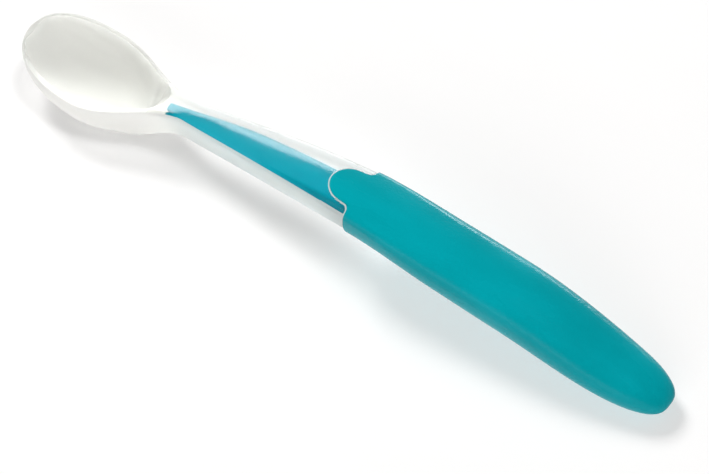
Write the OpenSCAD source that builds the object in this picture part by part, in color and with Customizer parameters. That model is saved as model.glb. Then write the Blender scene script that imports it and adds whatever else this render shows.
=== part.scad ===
// Baby feeding spoon: a clear moulded bowl and stem on a rigid coloured core, with a soft grip.
// The spoon lies along X with its bowl at the low end of X, and rests on the plane z = 0.
// One top line, one bottom line and one plan outline shape the whole spoon from tip to end.
// Sizes along the spoon count from the tip of the bowl. The finished pieces are then moved
// together, so that the origin lies under the middle of the spoon.

/* [Overall] */
// Length from the tip of the bowl to the end of the handle
spoon_l = 170; // [164:1:180]

/* [Bowl] */
// Length of the bowl, from its tip to the neck
bowl_l = 43.5; // [40:0.5:47]
// Width of the bowl over its rim
bowl_w = 22.8; // [20:0.2:25]
// Distance from the tip to the widest place of the bowl
bowl_widest_x = 17.8; // [16:0.2:20]
// Height of the rim at the tip
tip_z = 13.6; // [12.4:0.2:15]
// Height of the rim at its lowest place
rim_z = 11.2; // [10.5:0.1:12]
// Distance from the tip to the place on which the bowl rests
foot_x = 29; // [26:0.5:31]
// Thickness of the rim
rim_t = 1.3; // [1:0.1:1.8]
// Thickness of the bowl's floor over the resting flat
floor_t = 1.6; // [1.2:0.1:2.2]
// Radius of the rounded outer edge of the rim
rim_r = 0.6; // [0.3:0.1:0.6]
// Depth that the resting flat takes off the round underside
foot_bite = 0.2; // [0.1:0.05:0.4]

/* [Stem] */
// Width of the neck, the narrowest place of the stem
neck_w = 6.6; // [5.8:0.1:7.6]
// Height of the neck's top face
neck_z = 14.8; // [13.5:0.1:16]
// Thickness of the neck
neck_t = 8; // [7.2:0.1:8.6]
// Radius of the neck's long upper edges
neck_r = 1.1; // [0.8:0.1:1.5]
// Width of the stem where it meets the grip
stem_w = 14.2; // [13.2:0.1:15.6]
// Height of the crest of the spoon, the stem's top face where it meets the grip
crest_z = 19.1; // [18:0.1:20.2]
// Thickness of the stem where it meets the grip
stem_t = 9.4; // [8.8:0.1:10]
// Radius of the stem's long upper edges where it meets the grip
stem_r = 1.6; // [1.2:0.1:2.2]
// Length of the thinner sleeve that the stem carries on under the grip
sleeve_l = 10; // [8:0.5:14]

/* [Grip] */
// Distance from the tip of the bowl to the grip's front edge on the sides
grip_x = 89.4; // [86:0.2:93]
// Length that the round lobe on top reaches ahead of the sides' front edge
lobe_l = 7.5; // [6:0.5:10]
// Width of the lobe
lobe_w = 9.4; // [7:0.2:9.8]
// Radius by which the lobe runs out into the sides' front edge
lobe_fillet = 1.6; // [0.8:0.1:2]
// Height by which the grip stands proud of the stem
proud = 0.4; // [0.3:0.05:0.6]
// Depth to which the grip is let into the stem's sleeve
recess = 1; // [0.8:0.1:1.3]
// Width of the grip at its widest place
grip_w = 16.8; // [16:0.2:18.4]
// Height of the handle's top line halfway along the grip, under the skin
grip_mid_z = 16.4; // [15.4:0.1:17.4]
// Thickness of the handle halfway along the grip, under the skin
grip_mid_t = 12; // [11:0.1:12.8]
// Height of the handle's top line over the heel, under the skin
heel_z = 8.3; // [7.8:0.1:9]
// Length of the rounded end behind the heel, on which the handle rests
end_round_l = 9; // [7.5:0.5:12]
// Height that the top line still loses behind the heel, under the skin
end_drop = 1.8; // [1.2:0.1:2.4]
// Height of the outermost point of the rounded end
end_z = 4; // [3.4:0.1:4.6]
// Length over which the plan outline tapers to the round end
taper_l = 39.5; // [34:0.5:44]
// Radius of the grip's long upper edges
grip_r = 4.2; // [3.4:0.1:4.6]
// Height of the crown across the top of the stem at the grip, which sets that of the grip too
crown = 0.8; // [0.4:0.1:1.1]

/* [Core] */
// Distance from the tip of the bowl to the point of the core
core_x = 38.4; // [37.6:0.2:42]
// Width of the core at its point
core_tip_w = 2; // [1.6:0.1:2.8]
// Thickness of the core at its point
core_tip_t = 1.4; // [1.2:0.1:2]
// Width of the core halfway along its blade
core_mid_w = 6.6; // [6:0.1:7]
// Width of the core at the grip and through it
core_w = 7; // [6.6:0.1:7.8]
// Thickness of the core at the grip and through it
core_t = 3.6; // [3:0.1:4.2]
// Depth of the core's middle below the stem's top face at the neck
core_neck_d = 4.6; // [4.2:0.1:5]
// Depth of the core's middle below the stem's top face at the grip
core_crest_d = 5.6; // [5.2:0.1:5.9]
// Distance from the end of the handle to the end of the core
core_back = 16; // [13:0.5:20]
// Radius of the core's long upper edges
core_r = 0.8; // [0.5:0.1:1]
// Diameter of the round windows that lock the grip to the core
window_d = 4.4; // [3.6:0.2:5]
// Number of windows along the core
window_n = 3; // [2:1:4]

/* [Fit] */
// Gap left between two pieces that are moulded onto each other
bond_gap = 0.06; // [0.04:0.01:0.1]
// Depth to which each plug of the grip runs into the walls over and under its window
plug_bite = 0.8; // [0.5:0.1:1.1]

/* [Hidden] */

// Points in one section: along the lower curve, in each upper edge and across the top
lower_n = 22;
edge_n = 4;
top_n = 18;
ring_n = lower_n + 2 * edge_n + top_n;

// Sections along each stretch of the spoon
tip_n = 15;
bowl_n = 14;
stem_n = 9;
socket_n = 8;
sleeve_n = 2;
grip_n = 8;
taper_n = 14;
core_n = 8;
window_fn = 48;

// Exponents of the plan outlines of the tip and the handle's end
tip_share = 2.3;
taper_share = 2.88;
// Exponents of the cross sections, from the tip of the bowl to the grip, and of the hollow and core
tip_section_share = 2.3;
bowl_section_share = 2.9;
stem_section_share = 3.7;
grip_section_share = 2.25;
hollow_section_share = 2.5;
core_section_share = 4;
// Exponent of the curve by which the underside rises to the tip
keel_share = 2.4;

// Where the rim is lowest and where the hollow's back wall ends, as shares of the bowl's length
rim_low_share = 0.49;
hollow_back_share = 0.9;
// Where the grip reaches its full width, as a share of the way to its middle
swell_share = 0.6;
// Most that an edge radius may take of the half width and of the thickness it rounds
edge_fit_share = 0.9;
edge_depth_share = 0.45;
core_edge_share = 0.6;
// The grip's lip, front to back: place behind its edge and height, as shares of the proud height
lip_shares = [[0, 0.35], [0.5, 0.85], [1.5, 1]];
// Start of the plain rings of the grip, as a share of the sleeve's length
plain_share = 0.6;

heel_x = spoon_l - end_round_l;
taper_x = spoon_l - taper_l;
sleeve_x = grip_x + sleeve_l;
core_end_x = spoon_l - core_back;
grip_mid_x = (grip_x + lobe_l + heel_x) / 2;
grip_swell_x = mix(grip_x, grip_mid_x, swell_share);
blend_x = grip_x - 2 * lobe_l + sleeve_l / 3;
hollow_x = rim_t;
hollow_end_x = hollow_back_share * bowl_l;
overrun = rim_t;

// Lean of the crown where it meets the round upper edges of the stem
crown_lean = atan(2 * crown / (stem_w / 2 - stem_r));

// Width of the handle under the grip's skin
swell_w = grip_w - 2 * proud;

// Lines along the spoon, as places from the tip with the value there
top_knots = [
    [0, tip_z],
    [rim_low_share * bowl_l, rim_z],
    [bowl_l, neck_z],
    [grip_x, crest_z],
    [grip_mid_x, grip_mid_z],
    [heel_x, heel_z],
    [spoon_l, heel_z - end_drop]
];
bottom_knots = [
    [0, -foot_bite],
    [foot_x, -foot_bite],
    [bowl_l, neck_z - neck_t],
    [grip_x, crest_z - stem_t],
    [grip_mid_x, grip_mid_z - grip_mid_t],
    [heel_x, proud],
    [spoon_l, proud]
];
width_knots = [
    [bowl_l, neck_w / 2],
    [grip_x, stem_w / 2],
    [grip_swell_x, swell_w / 2],
    [spoon_l, swell_w / 2]
];
core_z_knots = [
    [core_x, neck_z - core_neck_d],
    [grip_x, crest_z - core_crest_d],
    [grip_mid_x, grip_mid_z - grip_mid_t / 2],
    [heel_x, (heel_z + proud) / 2],
    [spoon_l, end_z]
];
core_w_knots = [
    [core_x, core_tip_w / 2],
    [(core_x + grip_x) / 2, core_mid_w / 2],
    [grip_x, core_w / 2],
    [spoon_l, core_w / 2]
];
core_t_knots = [
    [core_x, core_tip_t / 2],
    [grip_x, core_t / 2],
    [spoon_l, core_t / 2]
];

// Smooth curve through knots, with no overshoot between them
function secant(k, i) = (k[i + 1][1] - k[i][1]) / (k[i + 1][0] - k[i][0]);
function mean_slope(a, b) = a * b <= 0 ? 0 : 2 * a * b / (a + b);
function slope(k, i) =
    i == 0 ? secant(k, 0)
    : i == len(k) - 1 ? secant(k, i - 1)
    : mean_slope(secant(k, i - 1), secant(k, i));
function ease(t) = t * t * (3 - 2 * t);
function hermite(k, i, x) =
    let (span = k[i + 1][0] - k[i][0])
    let (t = (x - k[i][0]) / span)
    k[i][1] + (k[i + 1][1] - k[i][1]) * ease(t)
    + span * t * (1 - t) * (slope(k, i) * (1 - t) - slope(k, i + 1) * t);
function along(k, x, i = 0) =
    x <= k[0][0] ? k[0][1]
    : i > len(k) - 2 ? k[len(k) - 1][1]
    : x <= k[i + 1][0] ? hermite(k, i, x)
    : along(k, x, i + 1);
function within(t) = min(1, max(0, t));
function mix(a, b, t) = a + (b - a) * t;
function rounded(t, n) = pow(max(0, 1 - pow(within(t), n)), 1 / n);
function spread(c, n) = sign(c) * pow(abs(c), 2 / n);

// The skin of the spoon: half width, top line and bottom line at a distance x from the tip
function bowl_half(x) =
    x <= bowl_widest_x ? bowl_w / 2 * rounded((bowl_widest_x - x) / bowl_widest_x, tip_share)
    : mix(bowl_w, neck_w, (1 - cos(180 * within((x - bowl_widest_x) / (bowl_l - bowl_widest_x)))) / 2) / 2;
function half_width(x) = x < bowl_l ? bowl_half(x) : along(width_knots, x);
function top_line(x) = along(top_knots, x);
function keel_front(x) = 1 - sqrt(1 - pow(within((foot_x - x) / foot_x), keel_share));
function bottom_line(x) =
    x < foot_x ? mix(-foot_bite, tip_z - rim_t, keel_front(x)) : along(bottom_knots, x);
function edge_radius(x) =
    x < bowl_l ? mix(rim_r, neck_r, ease(within(x / bowl_l)))
    : mix(neck_r, stem_r, within((x - bowl_l) / (grip_x - bowl_l)));
section_knots = [
    [0, tip_section_share],
    [foot_x, bowl_section_share],
    [bowl_l, stem_section_share],
    [grip_swell_x, grip_section_share],
    [spoon_l, grip_section_share]
];
function section_share(x) = along(section_knots, x);

// Depth of the bowl's hollow below the rim, along its middle and across it
function hollow_front(x) = 1 - sqrt(1 - pow(within((foot_x - x) / (foot_x - hollow_x)), keel_share));
function hollow_back(x) = ease(within((x - foot_x) / (hollow_end_x - foot_x)));
function hollow_z(x) = mix(floor_t, top_line(x), max(hollow_front(x), hollow_back(x)));
function hollow_d(x) = x <= hollow_x || x >= hollow_end_x ? 0 : top_line(x) - hollow_z(x);
function hollow_at(x, y) =
    let (inner = half_width(x) - rim_t)
    inner <= 0 ? 0 : hollow_d(x) * rounded(abs(y) / inner, hollow_section_share);

// Angle at which the crown of the top face runs out into the round upper edges
function lean(x) = crown_lean * ease(within((x - hollow_end_x) / (bowl_l - hollow_end_x) / 2));
function crowned(w, r, tilt) = w - r + r * sin(tilt);

// One closed section, from the right side over the top to the left and back below
function edge(w, top, r, side, tilt = 0) = [
    for (k = [0 : edge_n])
    let (a = (90 - tilt) * k / edge_n + (side > 0 ? 0 : 90 + tilt))
    [side * (w - r) + r * cos(a), top - r + r * sin(a)]
];
function lower(w, top, bottom, r, n) = [
    for (k = [1 : lower_n - 1])
    let (a = 180 * k / lower_n)
    [-w * spread(cos(a), n), top - r - (top - r - bottom) * spread(sin(a), n)]
];
function across(half) = [for (k = [1 : top_n - 1]) half * cos(180 * k / top_n)];
function top_face(w, top, r, tilt) =
    let (half = crowned(w, r, tilt))
    [for (y = across(half)) [y, top - r + r * cos(tilt) + half * tan(tilt) / 2 * (1 - pow(y / half, 2))]];

function body_section(x, inset) =
    let (w = half_width(x) - inset)
    let (top = top_line(x) - inset)
    let (bottom = bottom_line(x) + inset)
    let (r = min(edge_radius(x), w * edge_fit_share, (top - bottom) * edge_depth_share))
    let (tilt = lean(x))
    concat(
        edge(w, top, r, 1, tilt),
        [for (p = top_face(w, top, r, tilt)) [p[0], p[1] - hollow_at(x, p[0])]],
        edge(w, top, r, -1, tilt),
        lower(w, top, bottom, r, section_share(x))
    );

function end_round(x) = sqrt(1 - pow(within((x - heel_x) / end_round_l), 2));
function grip_taper(x) = rounded((x - taper_x) / taper_l, taper_share);
function grip_blend(x) = ease(within((x - grip_x) / (grip_swell_x - grip_x)));
function grip_section(x, out) =
    let (taper = grip_taper(x))
    let (fall = end_round(x))
    let (w = (half_width(x) + out) * taper)
    let (top = mix(end_z, top_line(x) + out, fall))
    let (bottom = mix(end_z, bottom_line(x) - out, fall))
    let (r = mix(edge_radius(min(x, grip_x)) + proud, grip_r, grip_blend(x)) * min(taper, fall))
    let (tilt = lean(x))
    concat(
        edge(w, top, r, 1, tilt),
        top_face(w, top, r, tilt),
        edge(w, top, r, -1, tilt),
        lower(w, top, bottom, r, section_share(x))
    );

function core_section(x, out) =
    let (w = along(core_w_knots, x) + out)
    let (z = along(core_z_knots, x))
    let (t = along(core_t_knots, x) + out)
    let (r = min(core_r, w * core_edge_share, t * core_edge_share))
    concat(
        edge(w, z + t, r, 1),
        top_face(w, z + t, r, 0),
        edge(w, z + t, r, -1),
        lower(w, z + t, z - t, r, core_section_share)
    );

// The front edge of the grip: straight across the sides and below, with the lobe on top
function is_top(j) = j > edge_n / 2 && j < edge_n * 3 / 2 + top_n + 1;
function arc(r, y) = sqrt(max(0, pow(r, 2) - pow(y, 2)));
function lobe_at(y) =
    y < lobe_w / 2 ? lobe_l - lobe_w / 2 + arc(lobe_w / 2, y)
    : lobe_fillet - arc(lobe_fillet, max(0, lobe_w / 2 + lobe_fillet - y));
function lobe(j) = is_top(j) ? lobe_at(abs(body_section(grip_x, 0)[j][0])) : 0;
front_edge = [for (j = [0 : ring_n - 1]) grip_x - lobe(j)];

// Rings of points: square to the spoon, or each point at its own x
function body_ring(x, inset) = [for (p = body_section(x, inset)) [x, p[0], p[1]]];
function grip_ring(x, out) = [for (p = grip_section(x, out)) [x, p[0], p[1]]];
function core_ring(x, out) = [for (p = core_section(x, out)) [x, p[0], p[1]]];
function body_ring_at(xs, inset) = [
    for (j = [0 : ring_n - 1])
    let (p = body_section(xs[j], inset)[j])
    [xs[j], p[0], p[1]]
];
function grip_ring_at(xs, out) = [
    for (j = [0 : ring_n - 1])
    let (p = grip_section(xs[j], out)[j])
    [xs[j], p[0], p[1]]
];
function front_to(x, t) = [for (f = front_edge) mix(f, x, t)];
function front_by(d) = [for (f = front_edge) f + d];

// A closed skin over a row of rings, with a point at each end
module skin(first, rings, last) {
    n = ring_n;
    count = len(rings);
    end = 1 + count * n;
    points = concat([first], [for (r = rings) each r], [last]);
    faces = concat(
        [for (j = [0 : n - 1]) [0, 1 + j, 1 + (j + 1) % n]],
        [
            for (i = [0 : count - 2], j = [0 : n - 1])
            let (a = 1 + i * n + j)
            let (b = 1 + i * n + (j + 1) % n)
            each [[a, a + n, b], [b, a + n, b + n]]
        ],
        [for (j = [0 : n - 1]) [end, end - n + (j + 1) % n, end - n + j]]
    );
    polyhedron(points, faces);
}

function steps(from, to, n) = [for (i = [1 : n]) mix(from, to, i / n)];
tip_steps = [for (i = [1 : tip_n]) bowl_widest_x * (1 - cos(90 * i / tip_n))];
taper_steps = [for (i = [1 : taper_n - 1]) taper_x + taper_l * sin(90 * i / taper_n)];

// Moves a piece so that the origin lies under the middle of the spoon
module placed() {
    translate([-spoon_l / 2, 0, 0])
    children();
}

// Clear bowl, neck, stem and sleeve in one moulding, with the socket for the core
module bowl_and_stem() {
    rings = concat(
        [for (x = tip_steps) body_ring(x, 0)],
        [for (x = steps(bowl_widest_x, bowl_l, bowl_n)) body_ring(x, 0)],
        [for (x = steps(bowl_l, blend_x, stem_n)) body_ring(x, 0)],
        [body_ring_at(front_to(blend_x, 1 / 2), 0)],
        [body_ring_at(front_by(-bond_gap), 0)],
        [body_ring_at(front_by(-bond_gap), recess)],
        [body_ring_at(front_to(sleeve_x, 1 / 2), recess)],
        [body_ring(sleeve_x, recess)],
        [core_ring(sleeve_x, bond_gap)],
        [for (x = steps(sleeve_x, grip_x, sleeve_n)) core_ring(x, bond_gap)],
        [for (x = steps(grip_x, core_x, socket_n)) core_ring(x, bond_gap)]
    );
    color([0.9, 0.92, 0.89, 0.5])
    placed()
    difference() {
        skin(
            [0, 0, tip_z - rim_t / 2],
            rings,
            [core_x - bond_gap, 0, along(core_z_knots, core_x)]
        );
        translate([0, -bowl_w, -overrun])
        cube([bowl_l, 2 * bowl_w, overrun]);
    }
}

function window_x(i) = mix(sleeve_x, core_end_x, (i + 1 / 2) / window_n);
function window_z(i) = along(core_z_knots, window_x(i));

// Rigid coloured core: a blade in the stem and a tang with windows in the grip
module handle_core() {
    rings = concat(
        [core_ring(core_x, 0)],
        [for (x = steps(core_x, grip_x, socket_n)) core_ring(x, 0)],
        [for (x = steps(grip_x, sleeve_x, sleeve_n)) core_ring(x, 0)],
        [for (x = steps(sleeve_x, core_end_x, core_n)) core_ring(x, 0)]
    );
    color([0, 0.66, 0.75])
    placed()
    difference() {
        skin(
            [core_x - bond_gap / 2, 0, along(core_z_knots, core_x)],
            rings,
            [core_end_x + bond_gap / 2, 0, along(core_z_knots, core_end_x)]
        );
        for (i = [0 : window_n - 1])
        translate([window_x(i), 0, window_z(i) - core_t])
        cylinder(d = window_d, h = 2 * core_t, $fn = window_fn);
    }
}

// Soft grip with its keyhole front edge, and the plugs that fill the core's windows
module grip() {
    plug_h = core_t + 2 * plug_bite;
    rings = concat(
        [core_ring(core_end_x + bond_gap, bond_gap)],
        [for (x = concat([core_end_x], steps(core_end_x, sleeve_x, core_n))) core_ring(x, bond_gap)],
        [body_ring(sleeve_x + bond_gap, recess - bond_gap)],
        [body_ring_at(front_to(sleeve_x, 1 / 2), recess - bond_gap)],
        [body_ring_at(front_edge, recess - bond_gap)],
        [for (lip = lip_shares) grip_ring_at(front_by(proud * lip[0]), proud * lip[1])],
        [grip_ring_at(front_to(sleeve_x, 1 / 2), proud)],
        [for (x = steps(grip_x + plain_share * sleeve_l, taper_x, grip_n)) grip_ring(x, proud)],
        [for (x = taper_steps) grip_ring(x, proud)]
    );
    color([0, 0.62, 0.66])
    placed()
    union() {
        skin(
            [core_end_x + 2 * bond_gap, 0, along(core_z_knots, core_end_x)],
            rings,
            [spoon_l, 0, end_z]
        );
        for (i = [0 : window_n - 1])
        translate([window_x(i), 0, window_z(i) - plug_h / 2])
        cylinder(d = window_d - 2 * bond_gap, h = plug_h, $fn = window_fn);
    }
}

bowl_and_stem();
handle_core();
grip();
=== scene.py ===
# Long baby feeding spoon: a clear deep bowl and stem moulded over a turquoise core, with a soft
# turquoise grip moulded over both. Places along the spoon count from the tip of the bowl.
import math
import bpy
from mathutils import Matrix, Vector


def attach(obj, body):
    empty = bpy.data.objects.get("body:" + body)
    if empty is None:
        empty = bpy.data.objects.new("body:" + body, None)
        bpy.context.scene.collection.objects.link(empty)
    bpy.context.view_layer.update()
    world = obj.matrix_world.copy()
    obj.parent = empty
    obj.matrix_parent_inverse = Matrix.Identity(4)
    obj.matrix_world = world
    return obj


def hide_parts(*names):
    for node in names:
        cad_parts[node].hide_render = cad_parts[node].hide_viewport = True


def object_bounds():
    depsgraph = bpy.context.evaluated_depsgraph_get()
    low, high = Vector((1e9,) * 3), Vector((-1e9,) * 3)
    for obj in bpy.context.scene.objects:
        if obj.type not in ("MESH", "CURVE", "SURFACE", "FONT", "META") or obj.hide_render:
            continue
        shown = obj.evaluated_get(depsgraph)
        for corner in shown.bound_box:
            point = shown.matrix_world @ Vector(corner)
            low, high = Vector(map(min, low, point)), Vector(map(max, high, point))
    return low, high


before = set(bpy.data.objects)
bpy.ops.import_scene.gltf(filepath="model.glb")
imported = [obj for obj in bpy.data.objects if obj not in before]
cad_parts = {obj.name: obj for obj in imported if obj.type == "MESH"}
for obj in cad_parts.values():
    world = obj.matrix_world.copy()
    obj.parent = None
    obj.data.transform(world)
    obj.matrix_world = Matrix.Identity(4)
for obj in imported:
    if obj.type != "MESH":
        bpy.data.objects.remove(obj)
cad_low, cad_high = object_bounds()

from types import SimpleNamespace

import bmesh
import bpy
import numpy as np
from mathutils import Matrix, Vector


# The core
# A rigid turquoise moulding, made first. Its blade lies deep in the clear stem and shows as a
# tongue, and its tang runs on inside the grip. Three round windows through the tang lock the grip.
spoon_l = cad_high.x - cad_low.x
stem_end_x, lobe_l, heel_x = 0.0894, 0.0075, spoon_l - 0.009
handle_mid_x = (stem_end_x + lobe_l + heel_x) / 2
sleeve_x = stem_end_x + 0.010
core_x, core_end_x = 0.0384, spoon_l - 0.016
core_tip_w, core_mid_w, core_w = 0.002, 0.0066, 0.007
core_tip_t, core_t = 0.0014, 0.0036
core_r = 0.0008
core_nose = core_r / 4
core_edge_share = 0.6
core_squareness = 4
core_counts = 6, 16, 48
core_steps = 70
core_seam = 50
core_heights = [
    (core_x, 0.0102),
    (stem_end_x, 0.0135),
    (handle_mid_x, 0.0104),
    (heel_x, 0.00435),
    (spoon_l, 0.004),
]
core_widths = [
    (core_x, core_tip_w / 2),
    ((core_x + stem_end_x) / 2, core_mid_w / 2),
    (stem_end_x, core_w / 2),
    (spoon_l, core_w / 2),
]
core_depths = [(core_x, core_tip_t / 2), (stem_end_x, core_t / 2), (spoon_l, core_t / 2)]
window_r, window_count, window_facets = 0.0022, 3, 64
core_colours = (0.0, 0.275, 0.365, 1), (0.0, 0.30, 0.395, 1)
core_roughness = 0.25, 0.35
core_mottle, core_ior, core_shine = 160, 1.46, 0.05
mottle_stretch = 0.35, 1, 1
mottle_contrast = 0.32, 0.68
mottle_detail, mottle_roughness = 4, 0.55
mottle_sockets = {
    "INPUT": {
        "Vector": "NodeSocketVector",
        "Scale": "NodeSocketFloat",
        "Low Color": "NodeSocketColor",
        "High Color": "NodeSocketColor",
        "Low Roughness": "NodeSocketFloat",
        "High Roughness": "NodeSocketFloat",
    },
    "OUTPUT": {"Color": "NodeSocketColor", "Roughness": "NodeSocketFloat"},
}


def within(t):
    return np.clip(t, 0, 1)


def mix(a, b, t):
    return a + (b - a) * t


def ease(t):
    return t * t * (3 - 2 * t)


def power_arc(c, n):
    return np.sign(c) * np.abs(c) ** (2 / n)


def along(knots, x):
    """A smooth curve through the knots, with no overshoot between them."""
    k = np.array(knots)
    rise = np.diff(k[:, 1]) / np.diff(k[:, 0])
    inner = [0 if a * b <= 0 else 2 * a * b / (a + b) for a, b in zip(rise[:-1], rise[1:])]
    slope = np.array([rise[0], *inner, rise[-1]])
    x = np.asarray(x, float)
    i = np.clip(np.searchsorted(k[:, 0], x) - 1, 0, len(k) - 2)
    span = k[i + 1, 0] - k[i, 0]
    t = within((x - k[i, 0]) / span)
    bend = span * t * (1 - t) * (slope[i] * (1 - t) - slope[i + 1] * t)
    return mix(k[i, 1], k[i + 1, 1], ease(t)) + bend


def section(x, w, top, bottom, r, squareness, counts, lean=0, sink=None):
    """Closed rings, one for each x: crowned top face, round upper edges and a curved underside."""
    x, w, top, bottom, r, squareness, lean = [
        np.broadcast_to(v, np.shape(x))[:, None] for v in (x, w, top, bottom, r, squareness, lean)
    ]
    edge_n, top_n, lower_n = counts
    turn = (np.pi / 2 - lean) * np.arange(edge_n + 1) / edge_n
    y_right = w - r + r * np.cos(turn)
    z_right = top - r + r * np.sin(turn)
    face_w = w - r + r * np.sin(lean)
    across = np.cos(np.pi * np.arange(1, top_n) / top_n)
    y_top = face_w * across
    z_top = top - r + r * np.cos(lean) + face_w * np.tan(lean) / 2 * (1 - across**2)
    if sink is not None:
        z_top = z_top - sink(x, y_top)
    under = np.pi * np.arange(1, lower_n) / lower_n
    y_low = -w * power_arc(np.cos(under), squareness)
    z_low = top - r - (top - r - bottom) * power_arc(np.sin(under), squareness)
    y = np.concatenate([y_right, y_top, -y_right[:, ::-1], y_low], 1)
    z = np.concatenate([z_right, z_top, z_right[:, ::-1], z_low], 1)
    return np.stack([np.broadcast_to(x, y.shape), y, z], 2)


def place_mesh(name, mesh):
    obj = bpy.data.objects.new(name, mesh)
    bpy.context.collection.objects.link(obj)
    return obj


def skin(name, rings, first, last):
    """A closed mesh over the rings, with a point at each end."""
    count, n = rings.shape[:2]
    points = np.concatenate([[first], rings.reshape(-1, 3), [last]])
    points[:, 0] += cad_low.x
    j = np.arange(n)
    neighbours = list(zip(j.tolist(), ((j + 1) % n).tolist()))
    faces = [(0, 1 + b, 1 + a) for a, b in neighbours]
    for i in range(count - 1):
        at = 1 + i * n
        faces += [(at + a, at + b, at + n + b, at + n + a) for a, b in neighbours]
    end = 1 + count * n
    faces += [(end, end - n + a, end - n + b) for a, b in neighbours]
    mesh = bpy.data.meshes.new(name)
    mesh.from_pydata(points.tolist(), [], faces)
    mesh.validate()
    return place_mesh(name, mesh)


def smooth(obj, limit):
    obj.data.shade_smooth()
    obj.data.set_sharp_from_angle(angle=math.radians(limit))


def posts(name, height):
    """Upright round posts where the core's windows are, as one mesh."""
    shape = bmesh.new()
    for x, z in window_places:
        at = Matrix.Translation((x + cad_low.x, 0, z))
        bmesh.ops.create_cone(
            shape,
            cap_ends=True,
            segments=window_facets,
            radius1=window_r,
            radius2=window_r,
            depth=height,
            matrix=at,
        )
    mesh = bpy.data.meshes.new(name)
    shape.to_mesh(mesh)
    shape.free()
    return place_mesh(name, mesh)


def combine(obj, tool, operation):
    """Cuts or joins the tool's shape into the object, and leaves the tool out of the scene."""
    change = obj.modifiers.new(operation, "BOOLEAN")
    change.object, change.operation, change.solver = tool, operation, "EXACT"
    evaluated = obj.evaluated_get(bpy.context.evaluated_depsgraph_get())
    shaped = bpy.data.meshes.new_from_object(evaluated)
    obj.modifiers.clear()
    obj.data = shaped
    bpy.data.objects.remove(tool)


def core_rings(x, grow, counts=core_counts):
    w = along(core_widths, x) + grow
    z = along(core_heights, x)
    t = along(core_depths, x) + grow
    r = np.minimum(core_r, core_edge_share * np.minimum(w, t))
    return section(x, w, z + t, z - t, r, core_squareness, counts)


def map_range(nodes, from_range=(0, 1), to_range=(0, 1), kind="LINEAR"):
    node = nodes.new("ShaderNodeMapRange")
    node.interpolation_type = kind
    for name, values in (("From", from_range), ("To", to_range)):
        node.inputs[name + " Min"].default_value = values[0]
        node.inputs[name + " Max"].default_value = values[1]
    return node


def mottled_group():
    """Soft uneven streaks along a moulding, which mix two colours and two roughnesses."""
    group = bpy.data.node_groups.new("mould_mottle", "ShaderNodeTree")
    for way, sockets in mottle_sockets.items():
        for name, kind in sockets.items():
            group.interface.new_socket(name, in_out=way, socket_type=kind)
    nodes, links = group.nodes, group.links
    given, given_back = nodes.new("NodeGroupInput"), nodes.new("NodeGroupOutput")
    stretch = nodes.new("ShaderNodeMapping")
    stretch.inputs["Scale"].default_value = mottle_stretch
    noise = nodes.new("ShaderNodeTexNoise")
    noise.inputs["Detail"].default_value = mottle_detail
    noise.inputs["Roughness"].default_value = mottle_roughness
    spread = map_range(nodes, from_range=mottle_contrast)
    blend = nodes.new("ShaderNodeMix")
    blend.data_type = "RGBA"
    gloss = map_range(nodes)
    links.new(given.outputs["Vector"], stretch.inputs["Vector"])
    links.new(stretch.outputs["Vector"], noise.inputs["Vector"])
    links.new(given.outputs["Scale"], noise.inputs["Scale"])
    links.new(noise.outputs["Fac"], spread.inputs["Value"])
    links.new(spread.outputs["Result"], blend.inputs["Factor"])
    links.new(given.outputs["Low Color"], blend.inputs["A"])
    links.new(given.outputs["High Color"], blend.inputs["B"])
    links.new(spread.outputs["Result"], gloss.inputs["Value"])
    links.new(given.outputs["Low Roughness"], gloss.inputs["To Min"])
    links.new(given.outputs["High Roughness"], gloss.inputs["To Max"])
    links.new(blend.outputs["Result"], given_back.inputs["Color"])
    links.new(gloss.outputs["Result"], given_back.inputs["Roughness"])
    return group


def surface(name, colours, roughness, mottle_scale, ior):
    """A moulded plastic with the mottle in its colour and gloss, ready to be added to."""
    material = bpy.data.materials.new(name)
    material.use_nodes = True
    nodes, links = material.node_tree.nodes, material.node_tree.links
    shader = nodes["Principled BSDF"]
    shader.inputs["IOR"].default_value = ior
    place = nodes.new("ShaderNodeTexCoord")
    mottle = nodes.new("ShaderNodeGroup")
    mottle.node_tree = mould_mottle
    mottle.inputs["Scale"].default_value = mottle_scale
    mottle.inputs["Low Color"].default_value = colours[0]
    mottle.inputs["High Color"].default_value = colours[1]
    mottle.inputs["Low Roughness"].default_value = roughness[0]
    mottle.inputs["High Roughness"].default_value = roughness[1]
    links.new(place.outputs["Object"], mottle.inputs["Vector"])
    links.new(mottle.outputs["Color"], shader.inputs["Base Color"])
    links.new(mottle.outputs["Roughness"], shader.inputs["Roughness"])
    return SimpleNamespace(
        material=material, nodes=nodes, links=links, shader=shader, place=place, mottle=mottle
    )


core_point = [core_x - core_nose, 0, core_heights[0][1]]
core_back = [core_end_x, 0, float(along(core_heights, core_end_x))]
core_stations = np.concatenate([
    np.linspace(core_x, stem_end_x, core_steps),
    np.linspace(stem_end_x, core_end_x, core_steps)[1:],
])
core = skin("core", core_rings(core_stations, 0), core_point, core_back)
window_x = mix(sleeve_x, core_end_x, (np.arange(window_count) + 1 / 2) / window_count)
window_places = list(zip(window_x.tolist(), along(core_heights, window_x).tolist()))
combine(core, posts("window_posts", 2 * core_t), "DIFFERENCE")
smooth(core, core_seam)

mould_mottle = mottled_group()
core_plastic = surface("core_plastic", core_colours, core_roughness, core_mottle, core_ior)
core_plastic.shader.inputs["Specular IOR Level"].default_value = core_shine
core.data.materials.append(core_plastic.material)
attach(core, "root")
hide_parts("handle_core")


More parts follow.
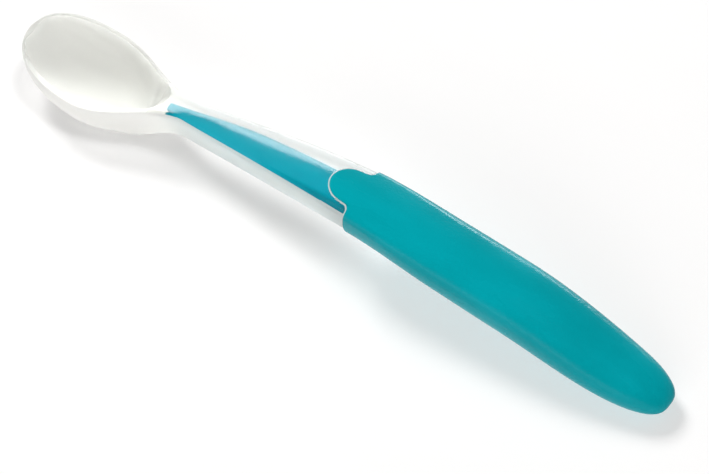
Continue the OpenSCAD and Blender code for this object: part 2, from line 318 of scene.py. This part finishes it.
# The bowl and stem
# One clear, slightly milky moulding over the core's blade: the deep bowl with its rounded rim, the
# neck, the flaring stem, and a thinner sleeve that runs on under the grip.
bowl_l, bowl_w, bowl_widest_x = 0.0435, 0.0228, 0.0178
tip_z, rim_low_z, rim_low_x = 0.0136, 0.0112, 0.49 * bowl_l
foot_x, foot_bite, floor_t = 0.029, 0.0002, 0.0016
rim_t, rim_r = 0.0013, 0.0006
neck_w, neck_z, neck_t, neck_r = 0.0066, 0.0148, 0.008, 0.0011
stem_w, crest_z, stem_t, stem_r = 0.0142, 0.0191, 0.0094, 0.0016
crown = 0.0008
recess, weld = 0.001, 0.00005
bead_w, bead_h = 0.0002, 0.0001
grip_proud = 0.0004
handle_w = 0.0168 - 2 * grip_proud
handle_mid_z, handle_mid_t = 0.0164, 0.012
heel_z, end_drop = 0.0083, 0.0018
swell_share = 0.6
swell_x = mix(stem_end_x, handle_mid_x, swell_share)
lobe_w, lobe_fillet = 0.0094, 0.0016
tip_share, keel_share, hollow_share = 2.3, 2.4, 2.5
hollow_start_x, hollow_end_x = rim_t, 0.86 * bowl_l
edge_fit_share, edge_depth_share = 0.9, 0.45
top_line_knots = [
    (0, tip_z),
    (rim_low_x, rim_low_z),
    (bowl_l, neck_z),
    (stem_end_x, crest_z),
    (handle_mid_x, handle_mid_z),
    (heel_x, heel_z),
    (spoon_l, heel_z - end_drop),
]
underside_knots = [
    (0, -foot_bite),
    (foot_x, -foot_bite),
    (bowl_l, neck_z - neck_t),
    (stem_end_x, crest_z - stem_t),
    (handle_mid_x, handle_mid_z - handle_mid_t),
    (heel_x, grip_proud),
    (spoon_l, grip_proud),
]
half_width_knots = [
    (bowl_l, neck_w / 2),
    (stem_end_x, stem_w / 2),
    (swell_x, handle_w / 2),
    (spoon_l, handle_w / 2),
]
squareness_knots = [(0, 2.3), (foot_x, 2.9), (bowl_l, 3.7), (swell_x, 2.25), (spoon_l, 2.25)]
ring_counts = 20, 90, 90
tip_turn, approach = 0.03, 0.006
nose_steps, waist_steps, stem_steps, edge_steps, bore_steps = 60, 70, 60, 60, 60
crowding = 1.8
body_seam = 45
wall_colours = (0.835, 0.828, 0.805, 1), (0.855, 0.849, 0.83, 1)
wall_roughness = 0.30, 0.42
wall_clearness, wall_shine = 0.06, 0.12
window_colours = (0.95, 0.965, 0.94, 1), (0.97, 0.98, 0.96, 1)
window_roughness = 0.14, 0.19
window_tint = 0.80, 0.81, 0.79, 1
window_sides = 9, 12
bowl_colour, bowl_matt = (0.975, 0.985, 0.98, 1), 0.55
clear_mottle, clear_ior = 90, 1.5
matt_end_x, matt_fade = 0.037, 0.006
milk_shares = 0.1, 0.5
stem_light_knots = [(matt_end_x, 0), (0.05, 0.65), (0.075, 0.65), (stem_end_x + 0.006, 1)]


def rounded(t, n):
    return np.maximum(0, 1 - within(t) ** n) ** (1 / n)


def half_width(x):
    nose = bowl_w / 2 * rounded((bowl_widest_x - x) / bowl_widest_x, tip_share)
    waist = (1 - np.cos(np.pi * within((x - bowl_widest_x) / (bowl_l - bowl_widest_x)))) / 2
    bowl = np.where(x <= bowl_widest_x, nose, mix(bowl_w, neck_w, waist) / 2)
    return np.where(x < bowl_l, bowl, along(half_width_knots, x))


def underside(x):
    keel = 1 - np.sqrt(1 - within((foot_x - x) / foot_x) ** keel_share)
    return np.where(x < foot_x, mix(-foot_bite, tip_z - rim_t, keel), along(underside_knots, x))


def edge_radius(x):
    rim = mix(rim_r, neck_r, ease(within(x / bowl_l)))
    stem = mix(neck_r, stem_r, within((x - bowl_l) / (stem_end_x - bowl_l)))
    return np.where(x < bowl_l, rim, stem)


def hollow(x, y):
    """Depth of the bowl's inside below its rim."""
    rise_ahead = 1 - np.sqrt(1 - within((foot_x - x) / (foot_x - hollow_start_x)) ** keel_share)
    rise_behind = ease(within((x - foot_x) / (hollow_end_x - foot_x)))
    top = along(top_line_knots, x)
    deep = top - mix(floor_t, top, np.maximum(rise_ahead, rise_behind))
    inner_w = half_width(x) - rim_t
    across = within(np.abs(y) / np.maximum(inner_w, rim_t))
    profile = mix(rounded(across, hollow_share), (1 - across**2) ** 2, rise_behind)
    is_open = (x > hollow_start_x) & (x < hollow_end_x) & (inner_w > 0)
    return np.where(is_open, deep, 0) * profile


def crown_lean(x):
    """Angle at which the crown of the top face runs out into the round upper edges."""
    full = np.arctan(2 * crown / (stem_w / 2 - stem_r))
    return full * ease(within((x - hollow_end_x) / (bowl_l - hollow_end_x) / 2))


def body_rings(x, inset):
    w = half_width(x) - inset
    top = along(top_line_knots, x) - inset
    bottom = underside(x) + inset
    r = np.minimum(edge_radius(x), np.minimum(edge_fit_share * w, edge_depth_share * (top - bottom)))
    bottom = np.where(inset > 0, bottom, np.maximum(bottom, 0))
    squareness = along(squareness_knots, x)
    return section(x, w, top, bottom, r, squareness, ring_counts, crown_lean(x), hollow)


def own_x(rings_at, x):
    """One ring whose points each have their own x, taken from rings at all of these places."""
    i = np.arange(len(x))
    return rings_at(x)[i, i]


edge_n, top_n, lower_n = ring_counts
across_n = 2 * (edge_n + 1) + top_n - 1
ring_n = across_n + lower_n - 1
crest_ring = body_rings(np.array([stem_end_x]), 0)[0]
across_y = np.abs(crest_ring[:, 1])


def reach(y):
    """How far the grip's front edge lies ahead of the sides, at a distance y from the middle."""
    lobe = lobe_l - lobe_w / 2 + np.sqrt(np.maximum(0, (lobe_w / 2) ** 2 - y**2))
    foot = within((lobe_w / 2 + lobe_fillet - y) / lobe_fillet)
    return np.where(y < lobe_w / 2, lobe, lobe_fillet * (1 - np.sqrt(1 - foot**2)))


# The grip's front edge, on the skin of the stem rolled out flat: places along and round it
edge_x = stem_end_x - np.where(np.arange(ring_n) < across_n, reach(across_y), 0)
around = np.cumsum(np.linalg.norm(np.diff(crest_ring, axis=0, prepend=crest_ring[:1]), axis=1))
round_s = around - around[edge_n + top_n // 2]
last_s = round_s[-1] + around[1]
edge_curve = np.stack([np.append(edge_x, edge_x[0]), np.append(round_s, last_s)], 1)


def edge_distance(x):
    """Distance on the skin from the grip's front edge, for one ring whose points are at these x."""
    a, b = edge_curve[:-1], edge_curve[1:]
    p = np.stack([x, round_s], -1)[:, None]
    run = b - a
    t = within(((p - a) * run).sum(2) / np.maximum((run**2).sum(1), np.finfo(float).tiny))
    return np.linalg.norm(p - a - t[..., None] * run, axis=2).min(1)


def bead_ring(x):
    """One ring along the front edge, with the bead of clear plastic that meets the grip's lip."""
    swelling = bead_h * np.sin(np.pi / 2 * within(1 - edge_distance(x) / bead_w)) ** 2
    return own_x(lambda at: body_rings(at, -swelling), x)


bowl_stations = np.concatenate([
    bowl_widest_x * (1 - np.cos(np.linspace(tip_turn, np.pi / 2, nose_steps))),
    np.linspace(bowl_widest_x, bowl_l, waist_steps)[1:],
    np.linspace(bowl_l, stem_end_x - lobe_l - approach, stem_steps)[1:],
])
steps_to_edge = 1 - (1 - np.arange(1, edge_steps + 1) / edge_steps) ** crowding
socket_stations = np.linspace(sleeve_x, core_x, bore_steps)
body_skin = [*body_rings(bowl_stations, 0)]
body_skin += [bead_ring(mix(bowl_stations[-1], edge_x, t)) for t in steps_to_edge]
body_skin += [own_x(lambda x: body_rings(x, recess), mix(edge_x, sleeve_x, t)) for t in (0, 1 / 2)]
body_skin += [*body_rings(np.array([sleeve_x]), recess)]
body_skin += [*core_rings(socket_stations, -weld, ring_counts)]
body_tip = [0, 0, tip_z - rim_t / 2]
socket_point = [core_x + weld, 0, core_heights[0][1]]
bowl_and_stem = skin("bowl_and_stem", np.array(body_skin), body_tip, socket_point)
bowl_and_stem.name = "clear_bowl_and_stem"
smooth(bowl_and_stem, body_seam)


def let_light_in(plastic, body, tint):
    """Lets lamp light through to what lies in the clear moulding, as a clear plastic does."""
    light_path = plastic.nodes.new("ShaderNodeLightPath")
    through = plastic.nodes.new("ShaderNodeBsdfTransparent")
    through.inputs["Color"].default_value = tint
    choice = plastic.nodes.new("ShaderNodeMixShader")
    plastic.links.new(light_path.outputs["Is Shadow Ray"], choice.inputs["Fac"])
    plastic.links.new(body, choice.inputs[1])
    plastic.links.new(through.outputs["BSDF"], choice.inputs[2])
    plastic.links.new(choice.outputs["Shader"], plastic.nodes["Material Output"].inputs["Surface"])
    return through


def place_along(plastic):
    """The place along the spoon, in the frame's own x."""
    split = plastic.nodes.new("ShaderNodeSeparateXYZ")
    plastic.links.new(plastic.place.outputs["Object"], split.inputs["Vector"])
    return split.outputs["X"]


# Its sides and underside are matt and milky. Round the bowl they hold lamp light back, and along
# the stem they let more and more of it through
matt_end = cad_low.x + matt_end_x
clear_walls = surface("clear_walls", wall_colours, wall_roughness, clear_mottle, clear_ior)
clear_walls.shader.inputs["Transmission Weight"].default_value = wall_clearness
clear_walls.shader.inputs["Specular IOR Level"].default_value = wall_shine
nodes, links = clear_walls.nodes, clear_walls.links
glow_through = nodes.new("ShaderNodeBsdfTranslucent")
milk = nodes.new("ShaderNodeMixShader")
milk_share = map_range(nodes, (matt_end - matt_fade, matt_end + matt_fade), milk_shares, "SMOOTHSTEP")
spoon_share = map_range(nodes, (cad_low.x, cad_high.x))
stem_light = nodes.new("ShaderNodeValToRGB")
stops = stem_light.color_ramp.elements
first_stop_count = len(stops)
for i, (x, share) in enumerate(stem_light_knots):
    stop = stops[i] if i < first_stop_count else stops.new(x / spoon_l)
    stop.position, stop.color = x / spoon_l, (share, share, share, 1)
wall_x = place_along(clear_walls)
links.new(wall_x, milk_share.inputs["Value"])
links.new(milk_share.outputs["Result"], milk.inputs["Fac"])
links.new(clear_walls.mottle.outputs["Color"], glow_through.inputs["Color"])
links.new(clear_walls.shader.outputs["BSDF"], milk.inputs[1])
links.new(glow_through.outputs["BSDF"], milk.inputs[2])
through = let_light_in(clear_walls, milk.outputs["Shader"], (0, 0, 0, 1))
links.new(wall_x, spoon_share.inputs["Value"])
links.new(spoon_share.outputs["Result"], stem_light.inputs["Fac"])
links.new(stem_light.outputs["Color"], through.inputs["Color"])

# The window on top is clear and polished over the stem, and turns matt inside the bowl
clear_top = surface("clear_top", window_colours, window_roughness, clear_mottle, clear_ior)
clear_top.shader.inputs["Transmission Weight"].default_value = 1
nodes, links = clear_top.nodes, clear_top.links
in_bowl = map_range(nodes, (matt_end, matt_end - matt_fade), kind="SMOOTHSTEP")
matt = nodes.new("ShaderNodeMath")
matt.operation = "MULTIPLY_ADD"
matt.inputs[1].default_value = bowl_matt
milky = nodes.new("ShaderNodeMix")
milky.data_type = "RGBA"
milky.inputs["B"].default_value = bowl_colour
links.new(place_along(clear_top), in_bowl.inputs["Value"])
links.new(in_bowl.outputs["Result"], matt.inputs[0])
links.new(clear_top.mottle.outputs["Roughness"], matt.inputs[2])
links.new(matt.outputs["Value"], clear_top.shader.inputs["Roughness"])
links.new(in_bowl.outputs["Result"], milky.inputs["Factor"])
links.new(clear_top.mottle.outputs["Color"], milky.inputs["A"])
links.new(milky.outputs["Result"], clear_top.shader.inputs["Base Color"])
let_light_in(clear_top, clear_top.shader.outputs["BSDF"], window_tint)

# The window takes the faces of the top that lie well in from the sides and ahead of the bead
bowl_and_stem.data.materials.append(clear_walls.material)
bowl_and_stem.data.materials.append(clear_top.material)
top_ring_count = len(bowl_stations) + len(steps_to_edge)
for i in range(top_ring_count - 1):
    side = window_sides[0] + round((window_sides[1] - window_sides[0]) * i / top_ring_count)
    ahead = edge_distance(body_skin[i + 1][:, 0])
    for j in range(side, across_n - 1 - side):
        if ahead[j] > bead_w:
            bowl_and_stem.data.polygons[(i + 1) * ring_n + j].material_index = 1
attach(bowl_and_stem, "root")
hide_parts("bowl_and_stem")


# The grip
# Soft turquoise elastomer moulded over the sleeve and the tang, with a finely pebbled skin. It
# stands a little proud of the stem behind a rounded lip, with a round lobe on top.
end_z, taper_x, grip_r = 0.004, spoon_l - 0.0395, 0.0042
taper_share = 2.88
lip_r, lip_start = 0.00045, -0.00008
plug_bite = 0.0008
lip_steps, middle_steps, end_steps = 48, 40, 60
grip_seam = 50
grip_colours = (0.0, 0.33, 0.38, 1), (0.0, 0.375, 0.435, 1)
grip_roughness = 0.24, 0.30
grip_mottle, grip_ior, grip_shine = 120, 1.5, 0.12
pebble_scale, pebble_smoothness = 2000, 0.6
pebble_strength, pebble_h = 0.22, 0.00015


def grip_rings(x, proud):
    taper = rounded((x - taper_x) / (spoon_l - taper_x), taper_share)
    fall = np.sqrt(1 - within((x - heel_x) / (spoon_l - heel_x)) ** 2)
    w = (half_width(x) + proud) * taper
    top = mix(end_z, along(top_line_knots, x) + proud, fall)
    bottom = mix(end_z, underside(x) - proud, fall)
    swell = ease(within((x - stem_end_x) / (swell_x - stem_end_x)))
    r = mix(edge_radius(np.minimum(x, stem_end_x)) + grip_proud, grip_r, swell)
    r = r * np.minimum(taper, fall)
    squareness = along(squareness_knots, x)
    return section(x, w, top, bottom, r, squareness, ring_counts, crown_lean(x))


def lip_ring(x):
    """One ring along the front edge, where the grip's rounded lip rises out of the stem."""
    turn = np.sqrt(1 - (1 - within(edge_distance(x) / lip_r)) ** 2)
    return own_x(lambda at: grip_rings(at, mix(lip_start, grip_proud, turn)), x)


grip_stations = np.concatenate([
    np.linspace(sleeve_x, taper_x, middle_steps)[1:],
    taper_x + (spoon_l - taper_x) * np.sin(np.linspace(0, np.pi / 2, end_steps))[1:-1],
])
steps_from_edge = (np.arange(lip_steps + 1) / lip_steps) ** crowding
bore_stations = np.linspace(core_end_x, sleeve_x, bore_steps)
grip_inset = recess + weld
grip_skin = [*core_rings(bore_stations, -weld, ring_counts)]
grip_skin += [*body_rings(np.array([sleeve_x]), grip_inset)]
grip_skin += [own_x(lambda x: body_rings(x, grip_inset), mix(sleeve_x, edge_x, t)) for t in (1 / 2, 1)]
grip_skin += [lip_ring(mix(edge_x, sleeve_x, t)) for t in steps_from_edge]
grip_skin += [*grip_rings(grip_stations, grip_proud)]
bore_point = [core_end_x - weld, 0, core_back[2]]
grip_end = [spoon_l, 0, end_z]
grip = skin("soft_grip", np.array(grip_skin), bore_point, grip_end)
combine(grip, posts("plugs", core_t + 2 * plug_bite), "UNION")
smooth(grip, grip_seam)

soft_grip = surface("soft_grip", grip_colours, grip_roughness, grip_mottle, grip_ior)
soft_grip.shader.inputs["Specular IOR Level"].default_value = grip_shine
nodes, links = soft_grip.nodes, soft_grip.links
pebbles = nodes.new("ShaderNodeTexVoronoi")
pebbles.feature = "SMOOTH_F1"
pebbles.inputs["Scale"].default_value = pebble_scale
pebbles.inputs["Smoothness"].default_value = pebble_smoothness
grain = nodes.new("ShaderNodeBump")
grain.inputs["Strength"].default_value = pebble_strength
grain.inputs["Distance"].default_value = pebble_h
links.new(soft_grip.place.outputs["Object"], pebbles.inputs["Vector"])
links.new(pebbles.outputs["Distance"], grain.inputs["Height"])
links.new(grain.outputs["Normal"], soft_grip.shader.inputs["Normal"])
grip.data.materials.append(soft_grip.material)
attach(grip, "root")
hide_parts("grip")


# The table
# A plain white studio table, wide enough that its edge never shows. Its own faint glow keeps it
# white in the picture, and hardly lights the spoon.
table_w = 6.0
table_colours = (0.725, 0.717, 0.712, 1), (0.735, 0.727, 0.722, 1)
table_roughness = 0.85, 0.95
table_mottle, table_ior = 40, 1.3
table_glow, glow_on_spoon = 0.28, 0.05
half = table_w / 2
corners = [(-half, -half, 0), (half, -half, 0), (half, half, 0), (-half, half, 0)]
sheet = bpy.data.meshes.new("table")
sheet.from_pydata(corners, [], [(0, 1, 2, 3)])
table = place_mesh("table", sheet)
table_top = surface("table_top", table_colours, table_roughness, table_mottle, table_ior)
table_top.shader.inputs["Specular IOR Level"].default_value = 0
table_top.shader.inputs["Emission Color"].default_value = 1, 1, 1, 1
light_path = table_top.nodes.new("ShaderNodeLightPath")
glow = map_range(table_top.nodes, to_range=(table_glow, glow_on_spoon))
table_top.links.new(light_path.outputs["Is Diffuse Ray"], glow.inputs["Value"])
table_top.links.new(glow.outputs["Result"], table_top.shader.inputs["Emission Strength"])
sheet.materials.append(table_top.material)


# Light
# A soft lamp from the bowl's side throws the long shadow, and one overhead the dark one under the
# bowl. A low lamp fills the near side, wide thin ones glint on the edges, and a pale surround helps.
low_heights = 0.6, 0.15
ambient, ceiling = 0.12, 0.03


def soft_lamp(name, azimuth, elevation, distance, size, radiance):
    """A rectangular soft lamp that faces the spoon. Azimuth 0 is the spoon's near side."""
    data = bpy.data.lights.new(name, "AREA")
    data.shape, data.size, data.size_y = "RECTANGLE", size[0], size[1]
    data.energy = radiance * math.pi * size[0] * size[1]
    lamp = bpy.data.objects.new(name, data)
    a, e = math.radians(azimuth), math.radians(elevation)
    towards = Vector((math.sin(a) * math.cos(e), -math.cos(a) * math.cos(e), math.sin(e)))
    lamp.location = towards * distance
    lamp.rotation_mode = "QUATERNION"
    lamp.rotation_quaternion = towards.to_track_quat("Z", "Y")
    bpy.context.collection.objects.link(lamp)
    return lamp


side_lamp = soft_lamp("side_lamp", 247, 45, distance=1.5, size=(0.5, 0.5), radiance=18.5)
key_lamp = soft_lamp("key_lamp", 124, 79, distance=1.3, size=(0.3, 0.3), radiance=20)
fill_lamp = soft_lamp("fill_lamp", 20, 20, distance=1.5, size=(1.4, 0.6), radiance=3.2)
soft_lamp("front_lamp", -5, 10, distance=1.2, size=(0.9, 0.2), radiance=2.2)
low_back_lamp = soft_lamp("low_back_lamp", 205, 9, distance=1.2, size=(1.3, 0.3), radiance=12)
middle_back_lamp = soft_lamp("middle_back_lamp", 208, 28, distance=1.2, size=(1.3, 0.3), radiance=6)
high_back_lamp = soft_lamp("high_back_lamp", 213, 41, distance=1.2, size=(1.3, 0.22), radiance=9)
for lamp in (side_lamp, key_lamp, fill_lamp):
    lamp.visible_glossy = False
    lamp.visible_transmission = False
for lamp in (low_back_lamp, middle_back_lamp, high_back_lamp):
    lamp.visible_diffuse = False

# The two upper back lamps glint on the clear piece and the core alone, and not on the soft grip
clear_pieces = bpy.data.collections.new("clear_pieces")
clear_pieces.objects.link(bowl_and_stem)
clear_pieces.objects.link(core)
for lamp in (middle_back_lamp, high_back_lamp):
    lamp.light_linking.receiver_collection = clear_pieces

# Only the clear piece throws a shadow from the overhead lamp, as the photograph shows under the bowl
key_blockers = bpy.data.collections.new("key_blockers")
key_blockers.objects.link(bowl_and_stem)
key_lamp.light_linking.blocker_collection = key_blockers

# The surround is white to the camera, through the clear plastic and low in mirrors, and dim to all else
world = bpy.data.worlds.new("surround")
bpy.context.scene.world = world
world.cycles.sampling_method = "NONE"
world.use_nodes = True
nodes, links = world.node_tree.nodes, world.node_tree.links


def combined(operation, first, second=None):
    node = nodes.new("ShaderNodeMath")
    node.operation = operation
    links.new(first, node.inputs[0])
    if second is not None:
        links.new(second, node.inputs[1])
    return node.outputs["Value"]


background = nodes["Background"]
background.inputs["Color"].default_value = 1, 1, 1, 1
rays = nodes.new("ShaderNodeLightPath").outputs
direction = nodes.new("ShaderNodeTexCoord")
height = nodes.new("ShaderNodeSeparateXYZ")
low = map_range(nodes, low_heights, kind="SMOOTHSTEP")
dim = map_range(nodes, to_range=(ambient, ceiling))
level = map_range(nodes)
links.new(direction.outputs["Generated"], height.inputs["Vector"])
links.new(height.outputs["Z"], low.inputs["Value"])
mirrored = combined("GREATER_THAN", rays["Is Glossy Ray"], rays["Is Transmission Ray"])
low_mirrored = combined("MULTIPLY", mirrored, low.outputs["Result"])
straight = combined("MAXIMUM", rays["Is Camera Ray"], rays["Is Transmission Ray"])
seen = combined("MAXIMUM", low_mirrored, straight)
undiffused = combined("LESS_THAN", rays["Diffuse Depth"])
shown = combined("MULTIPLY", seen, undiffused)
links.new(mirrored, dim.inputs["Value"])
links.new(shown, level.inputs["Value"])
links.new(dim.outputs["Result"], level.inputs["To Min"])
links.new(level.outputs["Result"], background.inputs["Strength"])
bpy.context.scene.view_settings.view_transform = "Standard"


# The camera
# It looks down at the spoon from its near right side, as in the photograph. A known point of the
# spoon falls on a known pixel, which sets the view's centre.
view_azimuth, view_elevation, view_roll = 33.041, 54.938, 0.8
view_distance, pixels_per_metre = 1.0149, 4518
image_w, image_h = 709, 474
seen_point, seen_pixel = Vector((0.00035, 0, 0.006)), (344.877, 218.504)
sensor_w, sight_range = 36, 20
a, e = math.radians(view_azimuth), math.radians(view_elevation)
back = Vector((math.sin(a) * math.cos(e), -math.cos(a) * math.cos(e), math.sin(e)))
right = Vector((math.cos(a), math.sin(a), 0))
right = Matrix.Rotation(math.radians(view_roll), 3, back) @ right
up = back.cross(right)
eye = seen_point + back * view_distance
centre_right = (image_w / 2 - seen_pixel[0]) / pixels_per_metre
centre_up = (seen_pixel[1] - image_h / 2) / pixels_per_metre
centre = seen_point + right * centre_right + up * centre_up
back = (eye - centre).normalized()
right = (right - back * right.dot(back)).normalized()
up = back.cross(right)
camera_data = bpy.data.cameras.new("camera")
camera_data.sensor_width = sensor_w
camera_data.lens = sensor_w * pixels_per_metre * view_distance / image_w
camera_data.clip_end = sight_range
camera = bpy.data.objects.new("camera", camera_data)
camera.matrix_world = Matrix((
    (right.x, up.x, back.x, eye.x),
    (right.y, up.y, back.y, eye.y),
    (right.z, up.z, back.z, eye.z),
    (0, 0, 0, 1),
))
bpy.context.collection.objects.link(camera)
bpy.context.scene.camera = camera
